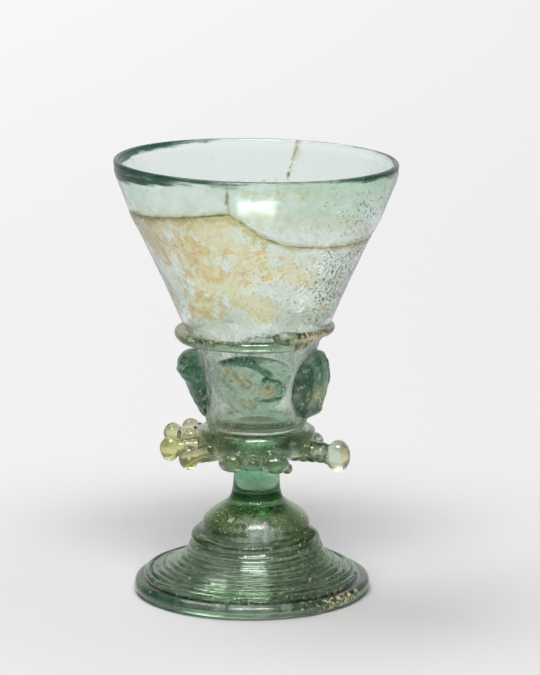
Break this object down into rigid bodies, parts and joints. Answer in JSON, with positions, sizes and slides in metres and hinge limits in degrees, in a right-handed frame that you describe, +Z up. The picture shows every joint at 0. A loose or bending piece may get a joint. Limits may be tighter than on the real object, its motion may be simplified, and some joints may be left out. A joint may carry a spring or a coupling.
{
  "type": "stemmed drinking glass",
  "caption": "Green forest-glass stemmed drinking glass with a funnel bowl, glued rim, hollow shaft with prunts, toed collar and thread-wound bell foot.",
  "frame": {"origin": "centre of the foot's underside, on the bowl's axis", "axes": "+Z up from the foot to the rim, -Y towards the front with the rim's front crack, +X to the right"},
  "size_m": [0.0708, 0.0708, 0.11],
  "materials": {
    "weathered_glass": "pale green glass under a patchy tan and white weathering crust",
    "clear_glass": "pale grey-green glass, clear and glossy",
    "waist_thread_glass": "grey-green glass with brown crust in its hollows",
    "prunt_glass": "dark green glass, fire-polished",
    "collar_glass": "olive to dark green glass, fire-polished",
    "foot_glass": "mid green glass, fire-polished, with gold-brown crust on the brim",
    "foot_thread_glass": "mid green glass thread, glossy"
  },
  "bodies": {
    "root": {"bowl_body": "weathered_glass", "rim_fragment_left": "clear_glass", "rim_fragment_right": "clear_glass", "waist_thread": "waist_thread_glass", "prunt_left": "prunt_glass", "prunt_front": "prunt_glass", "prunt_right": "prunt_glass", "prunt_back": "prunt_glass", "toed_collar": "collar_glass", "foot_core": "foot_glass", "foot_thread": "foot_thread_glass"}
  },
  "joints": []
}
